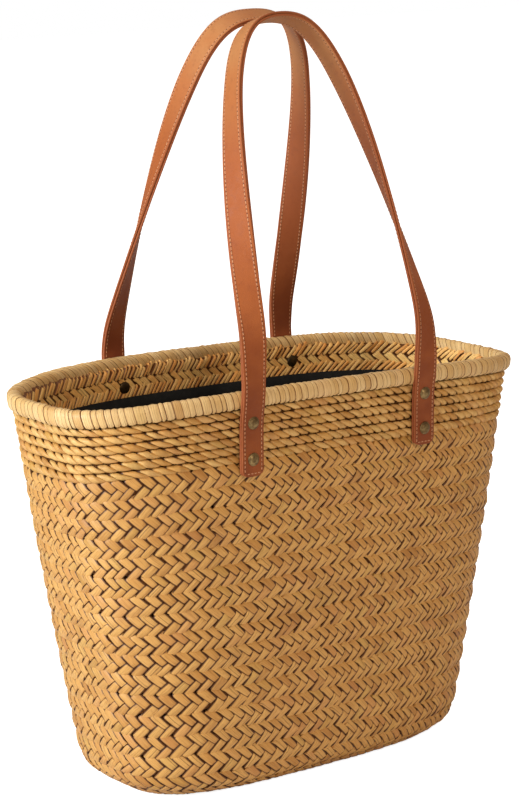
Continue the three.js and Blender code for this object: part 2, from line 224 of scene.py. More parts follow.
def straw_finish(name, dark, middle, pale, edge, gloss, fibre_depth, border_shade_width=0.3, lines=0,
                 contrast=1, splits=1):
    """Dried straw, with painted shade along each strand's edges, at its crisp ends and in the groove
    at its smooth ends, and the straws of a plait's lower half painted paler as a highlight. The "straw"
    attribute holds the way along a strand in metres, the way across it from -1 to 1, and the strand's own
    number from 0 to 1, with 2 added in a plait's lower half. The "groove" attribute holds how near a
    place is to a smooth end and to a crisp end."""
    paint = Finish(name)
    along, across, own = paint.attribute("straw")
    groove, tip_shade, _ = paint.attribute("groove")
    lot = (own * 57.31).part()
    hue = (own * 131.7).part()
    fibre = paint.noise(1, 3, 0.6, paint.vector(along * 90, across * 5.5, own * 400))
    streak = paint.noise(1, 2, 0.5, paint.vector(along * 40, across * 2.2, own * 300))
    split = (across + (hue - 0.5)).size().ramp(0.10, 0.02) * lot.above(0.84) * splits
    fine = ((across + fibre * 0.3) * 2.3 + hue).part()
    line = (fine - 0.5).size().ramp(0.09, 0.02) * lines
    colour = paint.layers(
        middle,
        (lot.ramp(0, 1) * 0.7, pale),
        # Painted highlight: the straws of a plait's lower half, which face the light, are painted paler
        (own.above(1.5) * 0.35, pale),
        (lot.ramp(0.16, 0) * 0.35 * contrast, dark),
        (streak.ramp(0.42, 0.74) * 0.35, pale),
        (fibre.ramp(0.54, 0.34) * 0.4, dark),
        (paint.noise(28, 3, 0.6).ramp(0.5, 0.7) * 0.25, dark),
        (hue.ramp(0.8, 1) * 0.24 * contrast, REDDISH),
        (hue.ramp(0.12, 0) * 0.25 * contrast, GREENISH),
        (paint.noise(260).ramp(0.66, 0.78) * 0.25, dark),
        (split * 0.55, edge),
        (line, edge),
        # Painted shade along each strand's edges, where the gaps between straws fall
        (across.size().ramp(1 - border_shade_width, 1 - border_shade_width * 0.25) * 0.92, edge),
        # Painted shade in the soft groove where a row's straws end smoothly
        (groove.ramp(0.6, 1) * 0.4, dark),
        # Painted shade at the crisp ends, where straws dip under their neighbours
        (tip_shade.ramp(0.72, 0.95) * 0.9, edge),
    )
    height = fibre * 0.6 + streak * 0.4 - split * 0.8 - line * 0.8
    return paint.surface(
        colour, fibre.ramp(0.3, 0.7, gloss + 0.12, gloss), (height, 0.5, fibre_depth),
        Specular_IOR_Level=0.38)


def seam_finish():
    """The dark hollow between straws: sewn ends, thread and shade"""
    paint = Finish("straw_seams")
    fuzz = paint.noise(900, 4, 0.7)
    colour = paint.mix(fuzz.ramp(0.35, 0.7), tone(72, 38, 12), tone(116, 70, 32))
    return paint.surface(
        colour, fuzz.ramp(0.3, 0.7, 0.95, 0.8), (fuzz, 0.8, 0.0006), Specular_IOR_Level=0.15)


def leather_finish(name, main, worn, shade, edge):
    """Vegetable-tanned leather, painted darker towards the strap's ends as shade and painted paler near the
    top of the loop as a sheen. The "strap" attribute holds the way along the strap from its middle and
    across it, in metres, and how squarely that place faces out: 1 on the broad side and 0 on the cut edge."""
    paint = Finish(name)
    along, across, broad = paint.attribute("strap")
    mottle = paint.noise(210, 4, 0.65)
    fine = paint.signal(
        "ShaderNodeTexVoronoi", {"Vector": paint.place(), "Scale": 1100}, feature="DISTANCE_TO_EDGE")
    line = (across.size() - STITCH_REACH).size()
    crease = line.ramp(0.9 * MM, 0.2 * MM)
    hole_shade = (along * (1 / STITCH_PITCH) - STITCH_INSET / STITCH_PITCH).part().ramp(0.24, 0.08)
    colour = paint.layers(
        shade,
        # Painted shade: the leather is darker towards the strap's ends, low on the bag
        (along.size().ramp(0.335, 0.185), main),
        # Painted sheen near the top of the loop, standing in for the lamp's reflection on the leather
        (along.size().ramp(0.15, 0.04) * 0.75, PAINTED_SHEEN),
        (paint.noise(22, 3, 0.6).ramp(0.42, 0.68) * 0.45, worn),
        (mottle.ramp(0.5, 0.75) * 0.3, shade),
        (paint.noise(1500, 2, 0.6).ramp(0.6, 0.75) * 0.18, shade),
        # Painted shade in the creased stitch groove and in the needle holes along it
        (crease * 0.5, edge),
        (hole_shade * line.ramp(0.8 * MM, 0.4 * MM), NEEDLE_HOLE_SHADE),
        (across.size().ramp(9 * MM, 9.9 * MM) * 0.6, edge),
        (broad.ramp(0.75, 0.25), edge),
    )
    height = fine.ramp(0, 0.25) * 0.35 + mottle * 0.5 - crease * 1.2
    return paint.surface(
        colour, mottle.ramp(0.3, 0.7, 0.62, 0.5), (height, 0.35, 0.0005), Specular_IOR_Level=0.25)


def thread_finish():
    paint = Finish("waxed_thread")
    along, across, _ = paint.attribute("straw")
    twist = (along * THREAD_RATE + across * 2.4).sine() * 0.5 + 0.5
    # The twist's pale and dark bands are painted highlight and painted shade across each ply of the thread
    colour = paint.mix(twist, tone(142, 78, 44), tone(240, 178, 128))
    return paint.surface(colour, twist.ramp(0, 1, 0.7, 0.5), (twist, 0.6, 0.0002))


def brass_finish(name, dark, light):
    paint = Finish(name)
    cloud = paint.noise(260, 3, 0.6)
    scratch = paint.noise(2400, 3, 0.7)
    return paint.surface(
        paint.mix(cloud.ramp(0.35, 0.68), dark, light), scratch.ramp(0.3, 0.7, 0.5, 0.36),
        (scratch, 0.2, 0.0001), Metallic=cloud.ramp(0.3, 0.6, 0.75, 0.95))


def lining_finish():
    """Plain black cotton: a weave of two thread directions on the cloth's own lengths"""
    paint = Finish("black_cotton")
    along, up, _ = paint.attribute("cloth")
    weave = (along * THREAD_RATE).sine() * (up * THREAD_RATE).sine()
    lint = paint.noise(120, 4, 0.7)
    colour = paint.mix(weave.ramp(-1, 1), tone(14, 14, 13), tone(34, 33, 30))
    colour = paint.mix(lint.ramp(0.5, 0.8) * 0.4, colour, tone(48, 46, 42))
    return paint.surface(
        colour, lint.ramp(0.3, 0.7, 0.95, 0.82), (weave, 0.35, 0.0002), Specular_IOR_Level=0.2)


STRAW = straw_finish(
    "plaited_straw", tone(146, 88, 34), tone(197, 139, 67), tone(219, 167, 93), tone(72, 32, 4),
    gloss=0.46, fibre_depth=0.0005)
ROPE = straw_finish(
    "twisted_straw", tone(150, 94, 40), tone(205, 149, 75), tone(229, 185, 115), tone(72, 33, 6),
    gloss=0.45, fibre_depth=0.0006, border_shade_width=0.5, splits=0)
FACING = straw_finish(
    "inside_straw", tone(168, 102, 42), tone(248, 170, 82), tone(255, 214, 132), tone(90, 42, 12),
    gloss=0.45, fibre_depth=0.0007, lines=0.3, contrast=0.6)
RIM = straw_finish(
    "wound_straw", tone(172, 120, 60), tone(218, 173, 106), tone(240, 204, 144), tone(118, 68, 22),
    gloss=0.42, fibre_depth=0.0005, border_shade_width=0.2, lines=0.5, contrast=0.6)
SEAMS = seam_finish()
TAN = leather_finish(
    "tan_leather", tone(160, 81, 33), tone(174, 94, 41), tone(130, 61, 24), tone(154, 82, 42))
RUSSET = leather_finish(
    "russet_leather", tone(152, 78, 38), tone(166, 90, 46), tone(120, 56, 26), tone(158, 84, 46))
THREAD = thread_finish()
BRASS = brass_finish("antique_brass_worn", tone(104, 80, 48), tone(158, 132, 88))
DARK_BRASS = brass_finish("dark_brass", tone(58, 44, 26), tone(92, 72, 46))
COTTON = lining_finish()


# The bag's surface

def wall_at(z):
    """Half the width, half the depth and the squareness of the wall's oval at a height"""
    t = z / RIM_HEIGHT
    bow = WALL_BOW * np.sin(np.pi * np.clip(t, 0, 1))
    a = BASE_WIDTH / 2 + (BAG_WIDTH / 2 - RIM_PROUD - BASE_WIDTH / 2) * t + bow
    b = BASE_DEPTH / 2 + (BAG_DEPTH / 2 - RIM_PROUD - BASE_DEPTH / 2) * t + bow
    return a, b, BASE_SQUARENESS + (MOUTH_SQUARENESS - BASE_SQUARENESS) * t


def wall_y(x, z, offset=0):
    a, b, n = wall_at(z)
    return (b + offset) * (1 - np.abs(x / (a + offset)) ** n) ** (1 / n)


def sag(bearing, z):
    """How far the rim's underside and the rope rows hang down at the bag's left end"""
    left = np.clip((-np.cos(bearing) - SAG_START) / SAG_SPAN, 0, 1)
    under_rim = np.clip((RIM_HEIGHT - z) / (RIM_HEIGHT - ROPE_BOTTOM), 0, 1)
    over_base = np.clip(z / ROPE_BOTTOM, 0, 1)
    return LEFT_SAG * left ** 2 * (3 - 2 * left) * np.where(z > ROPE_BOTTOM, under_rim, over_base ** 2)


def around(bearing, z, offset):
    """Points of the oval at a height, in the direction of a bearing; offset is outwards"""
    a, b, n = wall_at(z)
    c, s = np.cos(bearing), np.sin(bearing)
    reach = (np.abs(c) ** n + np.abs(s) ** n) ** (-1 / n)
    x = (a + offset) * reach * c
    y = (b + offset) * reach * s
    share = 2 * x / BAG_WIDTH
    drop = (z / RIM_HEIGHT) * (END_DROP * np.abs(share) ** END_DROP_POWER + RIM_TILT * share)
    return np.stack([x, y, z - drop - sag(bearing, z)], -1)


def section(s, offset):
    """The wall's section followed from the flat base's edge, s = 0, round the corner and up"""
    turn = np.clip(s, 0, CORNER_ARC) / CORNER_RADIUS
    r = CORNER_RADIUS
    out = (r + offset) * np.sin(turn) - r + np.minimum(s, 0)
    up = r - (r + offset) * np.cos(turn) + np.maximum(s - CORNER_ARC, 0)
    return out, up


BEARINGS = np.linspace(0, TURN, 2881)
WIDEST_SHARE = 0.60
UNEVENNESS = 0.17


class Course:
    """One round of the bag: turns lengths along the round into bearings. Straws are a little wider
    on some stretches than on others."""

    def __init__(self, z, offset=0, unevenness=UNEVENNESS):
        ring = around(BEARINGS, z, offset)
        steps = np.linalg.norm(np.diff(ring, axis=0), axis=1)
        self.lengths = np.concatenate([[0], np.cumsum(steps)])
        self.length = self.lengths[-1]
        self.unevenness = unevenness

    def bearing(self, share):
        beat = np.sin(4 * np.pi * (share - WIDEST_SHARE))
        uneven = share + self.unevenness / (4 * np.pi) * beat
        return np.interp((uneven % 1) * self.length, self.lengths, BEARINGS)

    def at(self, along):
        return self.bearing(along / self.length)


def wall_course(s, unevenness=UNEVENNESS):
    out, up = section(np.array(s), 0)
    return Course(float(up), float(out), unevenness)


def waves(bearing, sizes, phases):
    """Sum of waves round the bag; sizes are given by the number of waves in a round"""
    return sum(size * np.sin(n * bearing + phase) for (n, size), phase in zip(sizes.items(), phases))


def wander(share, s):
    """How far the rows stray up or down, the same for all that lie on each other"""
    return MM * waves(TURN * share, {3: 0.5, 7: 0.35, 13: 0.25}, (31 * s, 1.3 - 47 * s, 2.1))


def on_wall(course, along, s, offset):
    """Points for lengths along a course, places on the wall's section and offsets from its face"""
    share = along / course.length
    out, up = section(s + wander(share, s) * np.clip(s / 0.05, 0, 1), offset)
    return around(course.bearing(share), up, out)


# Mesh tools

def mesh_from(bm, name):
    mesh = bpy.data.meshes.new(name)
    bm.to_mesh(mesh)
    bm.free()
    return mesh


def smooth_out(bm):
    bmesh.ops.recalc_face_normals(bm, faces=bm.faces[:])
    for face in bm.faces:
        face.smooth = True


def spin_round(bm, steps):
    """Turns a profile once round the middle line"""
    bmesh.ops.spin(
        bm, geom=bm.verts[:] + bm.edges[:], cent=(0, 0, 0), axis=(0, 0, 1), dvec=(0, 0, 0),
        angle=TURN, steps=steps, use_merge=True, use_duplicate=False)


def turned_part(profile, steps, weld):
    """A round part from (radius, height) stops; corners nearer than weld become one"""
    bm = bmesh.new()
    made = [bm.verts.new((radius, 0, height)) for radius, height in profile]
    for ends in zip(made, made[1:]):
        bm.edges.new(ends)
    spin_round(bm, steps)
    bmesh.ops.remove_doubles(bm, verts=bm.verts[:], dist=weld)
    smooth_out(bm)
    return bm


def straw_blank(long_steps, cross_steps):
    """A flat straw: -1 to 1 along and across, 1 on top and 0 below"""
    bm = bmesh.new()
    bmesh.ops.create_grid(bm, x_segments=long_steps, y_segments=cross_steps, size=1)
    made = bmesh.ops.extrude_face_region(bm, geom=bm.faces[:])
    lifted = [v for v in made["geom"] if isinstance(v, bmesh.types.BMVert)]
    bmesh.ops.translate(bm, verts=lifted, vec=(0, 0, 1))
    below = [f for f in bm.faces if all(v.co.z < 0.5 for v in f.verts)]
    bmesh.ops.dissolve_faces(bm, faces=below)
    smooth_out(bm)
    for edge in bm.edges:
        if len(edge.link_faces) == 2 and edge.calc_face_angle(0) > 1:
            edge.smooth = False
    return mesh_from(bm, "straw_blank")


def ring_blank(steps, sides, material):
    """A closed ring of unit radius; section_of tells each corner's place round it and in its section"""
    bm = bmesh.new()
    made = bmesh.ops.create_circle(bm, segments=sides, radius=0.25)
    turned = Matrix.Translation((1, 0, 0)) @ Matrix.Rotation(math.pi / 2, 4, "X")
    bmesh.ops.transform(bm, matrix=turned, verts=made["verts"])
    spin_round(bm, steps)
    smooth_out(bm)
    for face in bm.faces:
        face.material_index = material
    return mesh_from(bm, "ring_blank")


def places(mesh):
    values = np.empty(len(mesh.vertices) * 3, dtype=np.float32)
    mesh.vertices.foreach_get("co", values)
    return values.reshape(-1, 3).astype(float)


def section_of(points):
    """Bearing round the ring and angle in its section, both 0 to a full turn"""
    ring = np.hypot(points[:, 0], points[:, 1])
    bearing = np.arctan2(points[:, 1], points[:, 0]) % TURN
    turn = np.arctan2(points[:, 2], ring - 1) % TURN
    return bearing, turn


def copies(local, count):
    """A blank's places along, across and up, each repeated for so many straws"""
    return [np.repeat(column[None], count, 0) for column in local.T]


def settle(mesh, points, **values):
    """Moves the corners to their points and stores their values, each under its name"""
    mesh.vertices.foreach_set("co", points.astype(np.float32).ravel())
    for name, rows in values.items():
        layer = mesh.attributes.new(name, "FLOAT_VECTOR", "POINT")
        layer.data.foreach_set("vector", rows.astype(np.float32).ravel())
    mesh.update()


class Weave:
    """Many blanks gathered into one mesh, with the points and values of their corners"""

    def __init__(self, *names):
        self.bm = bmesh.new()
        self.rows = {name: [] for name in ("points", *names)}

    def add(self, blank, points, **values):
        """One blank for each row of points, or one for a single row; a value left out is zero"""
        for _ in range(len(points) if points.ndim == 3 else 1):
            self.bm.from_mesh(blank)
        values["points"] = points
        for name, rows in self.rows.items():
            rows.append(values.get(name, np.zeros_like(points)).reshape(-1, 3))

    def mesh(self, name):
        mesh = mesh_from(self.bm, name)
        settle(mesh, **{key: np.concatenate(rows) for key, rows in self.rows.items()})
        return mesh


def add_object(name, data):
    obj = bpy.data.objects.new(name, data)
    bpy.context.scene.collection.objects.link(obj)
    return obj


def piece(name, mesh, finishes, stands_for, side=0):
    """A visible part of the bag or, given a side, of the handle that bends on that side"""
    obj = add_object(name, mesh)
    for finish in finishes:
        mesh.materials.append(finish)
    if stands_for:
        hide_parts(*stands_for)
    if side:
        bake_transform(obj)
    else:
        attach(obj, "root")
    return obj


STRAW_BLANK = straw_blank(5, 3)
RING_BLANK = ring_blank(144, 4, 1)
BLANK = places(STRAW_BLANK)


# Plait

class Straw:
    """The visible stretch of the straws in one half of a plait. Heights are from the wall's face; "free" is
    the end at the plait's edge and "met" the end where it meets the straws of the other half."""

    def __init__(self, lean, tuck, crest, edge, free, met, splits=1, painted_highlight=0, rough=1):
        self.lean = math.radians(lean)
        self.tuck = tuck * MM
        self.crest = crest * MM
        self.edge = edge * MM
        self.free_dip, self.free_width = free[0] * MM, free[1]
        self.met_dip, self.met_width = met[0] * MM, met[1]
        self.splits = splits
        self.painted_highlight = painted_highlight
        self.rough = rough


FALLING = Straw(lean=-49, tuck=2, crest=0.15, edge=-0.65, free=(0.2, 1.24), met=(0.45, 0.88))
RISING = Straw(lean=46, tuck=2.2, crest=0.4, edge=-0.65, free=(0.3, 1.24), met=(0.7, 0.82), painted_highlight=2)
STRAW_PITCH = 8.65 * MM
STRAW_GAP = 0.32 * MM
STRAW_BED = -4.4 * MM
# How far the painted shade along a straw's edges fades at a smooth end and grows at a crisp end
SOFT_EDGE = 0.55
CRISP_EDGE = 0.1
FLATNESS = 0.35
TIP_SHARPNESS = 3
END_CROWDING = 0.45
ROW_LIMIT = 1.15
BED_MARGIN = 0.4 * MM
BED_BACK = -4.9 * MM

# How much single straws differ in width, length, lean (degrees) and place (millimetres)
WIDTH_SPREAD = 0.16
LENGTH_SPREAD = 0.05
LEAN_SPREAD = 1.3
BEND_SPREAD = 0.15
TILT_SPREAD = 0.14
LIFT_SPREAD = 0.13
RISE_SPREAD = 0.2

# How far left, from -1 to 1, straws start to part at the sewn line and to join at the meeting line
SEWN_CRISP_FROM, SEWN_SPAN = 0.45, 0.2
MET_SOFT_FROM, MET_SPAN = 0.86, 0.1


def spread(count, length):
    """Widths that are all a little different and together go once round"""
    widths = draw.uniform(1 - WIDTH_SPREAD, 1 + WIDTH_SPREAD, count)
    return widths * length / widths.sum()


def half_row(kind, ends, widths, half, side, meeting, soft_sewn, soft_met):
    """Corners of the straws on one side of the line where a plait's halves meet; ends are the places
    along that line where the straws of the upper half end, and side is 1 above it and -1 below. The two
    soft shares tell how far the straws run smoothly together at the sewn line and at the meeting line."""
    count = len(ends)
    t, v, top = copies(BLANK, count)
    v = np.sign(v) * np.abs(v) ** FLATNESS
    top = top > 0.5

    def each(low, high):
        return draw.uniform(low, high, (count, 1))

    def stray(size):
        return draw.normal(0, size, (count, 1))

    own = each(0, 1)
    lean = kind.lean + np.radians(stray(LEAN_SPREAD * kind.rough))
    slant = abs(math.sin(kind.lean))
    full = widths[:, None] * slant
    uneven = LENGTH_SPREAD * kind.rough
    length = (half / slant + kind.tuck) * each(1 - uneven, 1 + uneven)
    breadth = full / kind.splits - STRAW_GAP * each(0.3, 1.5)
    at_soft = np.where((t < 0) == (side > 0), soft_sewn, soft_met)
    at_crisp = 1 - at_soft
    far = np.abs(t)
    taper = 1 - ((1 - kind.free_width) * at_soft + (1 - kind.met_width) * at_crisp) * far ** TIP_SHARPNESS
    x = np.sign(t) * far ** END_CROWDING * length / 2
    y = v * breadth / 2 * taper + stray(BEND_SPREAD) * MM * (1 - t ** 2)
    dip = kind.free_dip * at_soft * far ** 2.5 + kind.met_dip * at_crisp * far ** 4
    edge = kind.edge + 0.35 * MM * at_soft * far
    crown = edge + (kind.crest - edge) * (1 - np.abs(v) ** 2.4)
    tilt = stray(TILT_SPREAD * kind.rough) * MM * v
    lift = stray(LIFT_SPREAD * kind.rough) * MM
    height = np.where(top, crown - dip + tilt + lift, STRAW_BED)
    cos, sin = np.cos(lean), np.sin(lean)
    along = cos * (x - length / 2) - sin * y
    up = sin * (x - length / 2) + cos * y
    if side < 0:
        across = full / 2
        along = along + math.sin(kind.lean) * across + math.cos(kind.lean) * meeting
        up = up - math.cos(kind.lean) * across + math.sin(kind.lean) * meeting
    up += stray(RISE_SPREAD) * MM
    # Scales the across value, which sets the painted edge shade: less towards a smooth end, more towards a
    # crisp one
    crisp_edge = CRISP_EDGE * (0.5 + 1.8 * soft_sewn)
    blended = 1 + 0.06 * soft_sewn + (crisp_edge * at_crisp - SOFT_EDGE * at_soft) * far
    values = np.stack([x, np.where(top, v * blended, np.sign(v)), own * 0.999 + kind.painted_highlight + 0 * x], -1)
    # How near each corner is to a smooth end and to a crisp end, for the painted shade there
    grooved = np.stack([far * at_soft, far * at_crisp, 0 * t], -1)
    return ends[:, None] + along, up, height, values, grooved


def plait_half_rows(kinds, course, half, pitch, start):
    """Both halves of a plait, the upper one first"""
    upper, lower = kinds
    count = max(8, round(course.length / pitch))
    widths = spread(count, course.length)
    ends = np.cumsum(widths) - widths / 2 + start
    rows = []
    for kind, side in ((upper, 1), (lower, -1)):
        fine_widths = np.repeat(widths, kind.splits)
        shift = (np.tile(np.arange(kind.splits), count) - (kind.splits - 1) / 2) / kind.splits
        fine_ends = np.repeat(ends, kind.splits) + shift * fine_widths
        meeting = fine_widths[:, None] * abs(math.sin(upper.lean)) / 2
        leftness = -np.cos(course.at(fine_ends))[:, None]
        soft_sewn = 1 - np.clip((leftness - SEWN_CRISP_FROM) / SEWN_SPAN, 0, 1)
        soft_met = np.clip((leftness - MET_SOFT_FROM) / MET_SPAN, 0, 1)
        rows.append(half_row(kind, fine_ends, fine_widths, half, side, meeting, soft_sewn, soft_met))
    return rows


def bed_corners(low, high, near, far, slope=0):
    """Lengths and depths of the flat ring behind a row, for the corners of the ring blank"""
    bearing, turn = section_of(places(RING_BLANK))
    corner = np.round(turn / (np.pi / 2)).astype(int) % 4
    lengths = np.array([low + slope, high - slope, high, low])
    return bearing, lengths[corner], np.array([near, near, far, far])[corner]


def plait_round(name, low, high, course, place, stands_for, kinds=(FALLING, RISING),
                finishes=(STRAW, SEAMS), bed=(-1.7 * MM, BED_BACK), crown=1.5 * MM,
                pitch=STRAW_PITCH, flip=1, over=0, slope=2.6 * MM):
    """A plait row between two places on the wall's section, with a dark ring behind it"""
    middle = (low + high) / 2
    half = (high - low) / 2
    weave = Weave("straw", "groove")
    start = draw.uniform(0, pitch)
    for along, up, height, own, grooved in plait_half_rows(kinds, course, half, pitch, start):
        sunk = crown * np.clip(np.abs(up / half), 0, ROW_LIMIT) ** 3
        points = place(course, along, middle + up, flip * (height - sunk))
        weave.add(STRAW_BLANK, points, straw=own, groove=grooved)
    bearing, s, depth = bed_corners(low + BED_MARGIN, high - BED_MARGIN + over, *bed, slope)
    weave.add(RING_BLANK, place(course, bearing / TURN * course.length, s, flip * depth))
    piece(name, weave.mesh(name), finishes, stands_for)


def row_border(row):
    """Where a row starts on the wall's section; the rows are a little narrower towards the top"""
    share = row / PLAIT_ROWS
    return BASE_EDGE + (PLAIT_TOP - BASE_EDGE) * share * (1 + ROW_TAPER * (1 - share))


def make_plait():
    for row in range(PLAIT_ROWS):
        low, high = row_border(row), row_border(row + 1)
        course = wall_course((low + high) / 2)
        name = f"{row + 1:02d}"
        plait_round(f"straw_row_{name}", low, high, course, on_wall, [f"plait_row_{name}"])


BASE_INMOST = -52.8 * MM
BASE_BED_STOPS = (BASE_EDGE - 0.3 * MM, 9 * MM, 0, -52.6 * MM)
GROUND_GAP = 0.05 * MM


def on_base(course, along, s, offset):
    """The same surface without its stray, kept off the ground"""
    out, up = section(s, np.minimum(offset, -GROUND_GAP))
    return around(course.at(along), up, out)


def make_base():
    """Base: the plait coiled flat in an oval, out to where it turns up the wall"""
    high = BASE_EDGE
    weave = Weave("straw", "groove")
    while high > BASE_INMOST + 3 * MM:
        low = max(high - PLAIT_PITCH, BASE_INMOST)
        middle = (low + high) / 2
        half = (high - low) / 2
        course = wall_course(middle, 0)
        halves = plait_half_rows((FALLING, RISING), course, half, STRAW_PITCH, 0)
        for along, up, height, own, grooved in halves:
            s = np.maximum(middle + up, BASE_INMOST)
            # Painted shade on the base's outermost rows, where the plait curves under towards the ground
            grooved[..., 1] = np.maximum(grooved[..., 1], np.clip((15 * MM - s) / (4 * MM), 0, 0.86))
            sunk = 0.5 * MM * np.clip(np.abs(up / half), 0, ROW_LIMIT) ** 2 + 0.15 * MM
            weave.add(STRAW_BLANK, on_base(course, along, s, height - sunk), straw=own, groove=grooved)
        high = low
    for outer, inner in zip(BASE_BED_STOPS, BASE_BED_STOPS[1:]):
        bearing, s, depth = bed_corners(inner, outer, -1.9 * MM, BED_BACK)
        out, up = section(s, depth)
        weave.add(RING_BLANK, around(bearing, up, out))
    piece("straw_base", weave.mesh("straw_base"), (STRAW, SEAMS), ["base_panel"])


FACING_TOP = ROPE_TOP + 4 * MM


def on_facing(course, along, s, offset):
    """The inner face of the rope band: s is the height, offset is towards the middle of the bag"""
    return around(course.at(along), s, -FACING_DEPTH + offset)


def make_facing():
    """Plait rows behind the ropes. From inside the bag their upper straws rise to the right, and those of
    the top row reach over the rim."""
    lower = Straw(lean=42, tuck=2.4, crest=-0.1, edge=-0.6, free=(0.9, 0.9), met=(0.4, 0.92), painted_highlight=2)
    for row in range(3):
        low = FACING_TOP - (3 - row) * FACING_PITCH
        high = low + FACING_PITCH
        top = row == 2
        upper = Straw(
            lean=-49, tuck=2.6 if top else 2.4, crest=0.45, edge=-0.45,
            free=(2.8 if top else 0.8, 0.6 if top else 0.8), met=(0.5, 0.85),
            splits=2, rough=2.4 if top else 1.4)
        course = Course((low + high) / 2, -FACING_DEPTH)
        plait_round(
            f"inside_straw_row_{row + 1}", low, high, course, on_facing, [f"facing_row_{row + 1}"],
            kinds=(upper, lower), finishes=(FACING, SEAMS), bed=(-1.5 * MM, -3.9 * MM),
            crown=0.3 * MM, pitch=8.4 * MM, flip=-1, over=1 * MM if top else 0, slope=0)


# Rope band

ROPE_LAY = 18 * MM
ROPE_SEAT = 3.15
STRAND_SPREAD = 1.45
STRAND_THICK = 1.9
STRAND_WIDE = 2.65
ROPE_SLACK = 0.1
TIGHT_LAY = 0.97
GOLDEN_SHARE = 0.381966

# Waves round the bag that make a rope's twist, height and strands uneven
LAY_WAVES = {5: 0.5, 13: 0.25, 31: 0.15, 57: 0.12}
HEIGHT_WAVES = {4: 0.2, 11: 0.14}
SWELL_WAVES = {19: 0.09, 47: 0.08}


def make_ropes():
    """Two strands laid round each other, sewn in level rows"""
    strand_blank = ring_blank(960, 8, 0)
    bearing, turn = section_of(places(strand_blank))
    shares = bearing / TURN
    for row in range(ROPE_ROWS):
        low = ROPE_BOTTOM + row * ROPE_PITCH
        middle = low + ROPE_PITCH / 2
        course = Course(middle, 0, 0.05)
        lays = round(course.length / ROPE_LAY)
        phases = draw.uniform(0, TURN, 8)
        slack = ROPE_SLACK * np.sin(bearing - TURN * TIGHT_LAY)
        jitter = waves(bearing, LAY_WAVES, phases)
        stray = waves(bearing, HEIGHT_WAVES, phases[4:])
        weave = Weave("straw")
        for strand in range(2):
            lay = -lays * (bearing + slack) + strand * np.pi + jitter
            swell = 1 + waves(bearing, SWELL_WAVES, phases[6:] + strand * np.array([1, 2]))
            reach = STRAND_SPREAD + STRAND_THICK * swell * np.cos(turn)
            aside = STRAND_WIDE * swell * np.sin(turn)
            out = reach * np.cos(lay) - aside * np.sin(lay)
            up = reach * np.sin(lay) + aside * np.cos(lay)
            offset = (out - ROPE_SEAT) * MM
            points = around(course.bearing(shares), middle + (up + stray) * MM, offset)
            depth = 1 - np.hypot(out, up) / (STRAND_SPREAD + STRAND_THICK)
            segment = np.floor((lay - np.pi) / TURN)
            own = (segment * GOLDEN_SHARE + row * 0.31 + strand * 0.5) % 1
            # Painted shade in the rope's crevices and where its strands turn in towards the wall
            dip = np.clip((1.2 - out) / 1.8, 0, 1)
            shade = 0.2 + 0.95 * depth + 0.7 * dip
            weave.add(strand_blank, points, straw=np.stack([shares * course.length, shade, own], -1))
        over = 2.2 * MM if row == ROPE_ROWS - 1 else 0
        bed_bearing, z, offset = bed_corners(
            low + BED_MARGIN, low + ROPE_PITCH - BED_MARGIN + over, -3.4 * MM, -5.1 * MM)
        weave.add(RING_BLANK, around(course.bearing(bed_bearing / TURN), z, offset))
        name = f"straw_rope_{row + 1}"
        piece(name, weave.mesh(name), (ROPE, SEAMS), [f"rope_row_{row + 1}"])


# Rim

# Each straw starts inside under the roll and goes over it to the outside, in degrees of its section
WRAP_START = 242
WRAP_END = -68
WRAP_STRAY = 6
WRAP_WIDTHS = (2.8, 8.2)
WRAP_LEAN = 7.5 * MM
WRAP_CURL = 1.3 * MM
WRAP_HOOK = 1.6 * MM


def on_rim(bearing, turn, sunk):
    """The rim's upright oval section, so far below its surface"""
    across, up = np.cos(turn), np.sin(turn)
    offset = (RIM_THICKNESS / 2 - sunk) * np.sign(across) * np.abs(across) ** 0.75
    rise = (RIM_ROLL / 2 - sunk) * np.sign(up) * np.abs(up) ** 0.85
    return around(bearing, RIM_MIDDLE + rise, RIM_PROUD - RIM_THICKNESS / 2 + offset)


